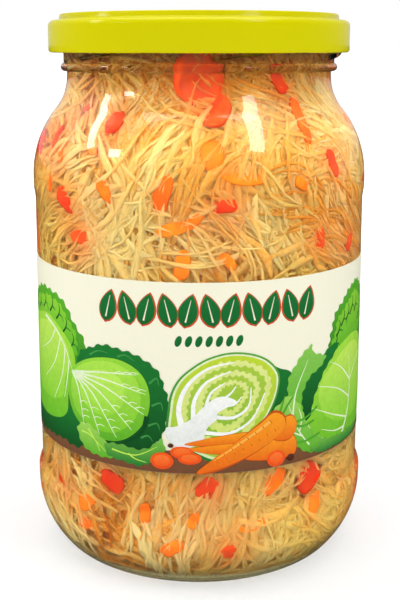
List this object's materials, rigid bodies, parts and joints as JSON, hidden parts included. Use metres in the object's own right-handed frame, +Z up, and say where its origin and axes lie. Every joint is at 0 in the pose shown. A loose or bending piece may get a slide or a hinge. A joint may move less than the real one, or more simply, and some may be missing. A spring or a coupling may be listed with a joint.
{
  "type": "sauerkraut jar",
  "caption": "Round glass preserving jar with a twist-off tinplate lid and a wrap-round printed paper label, packed with shredded cabbage, carrot and red pepper in brine.",
  "frame": {"origin": "on the standing plane, on the jar's axis", "axes": "+Z up along the jar's axis; the middle of the label's picture faces -Y and its lapped seam faces +Y"},
  "size_m": [0.0972, 0.0972, 0.1536],
  "materials": {
    "glass": "clear soda-lime glass, fire polished, with a faint green in its thick edges",
    "lid_enamel": "glossy yellow-green stoving enamel on tinplate",
    "label_paper": "smooth coated cream paper",
    "label_print": "offset inks in greens, orange and brown under a thin varnish",
    "cabbage": "wet translucent fermented cabbage",
    "carrot": "wet grated carrot",
    "pepper": "wet chopped red pepper",
    "brine": "clear pale amber brine"
  },
  "bodies": {
    "root": {"jar": "glass", "lid": "lid_enamel", "label": "label_paper", "filling": "cabbage"}
  },
  "joints": []
}
